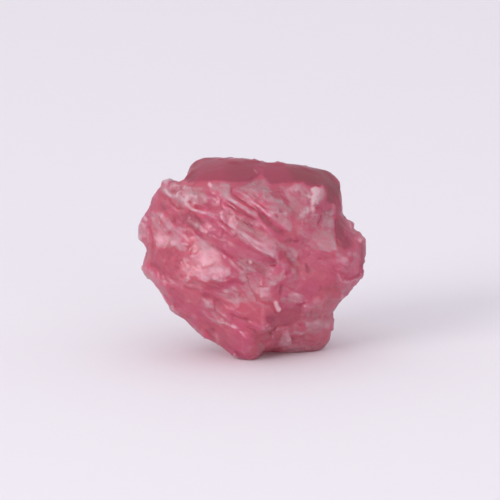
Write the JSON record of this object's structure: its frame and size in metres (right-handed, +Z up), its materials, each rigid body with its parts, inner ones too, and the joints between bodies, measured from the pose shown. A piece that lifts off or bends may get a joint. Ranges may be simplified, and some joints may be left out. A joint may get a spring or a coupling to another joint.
{
  "type": "raw spinel crystal",
  "caption": "Rough, water-worn grain of pink spinel with broken ledges, humps and hollows, resting on a small flat break.",
  "frame": {"origin": "middle of the bounding box, at the flat break that the stone rests on", "axes": "+Z up as it rests, -Y towards the best face, +X to the right of that face"},
  "size_m": [0.0058, 0.0048, 0.0051],
  "materials": {
    "crystal": "half clear pink spinel, satin on worn ledges and glossy in fresh hollows"
  },
  "bodies": {
    "root": {"crystal": "crystal"}
  },
  "joints": []
}
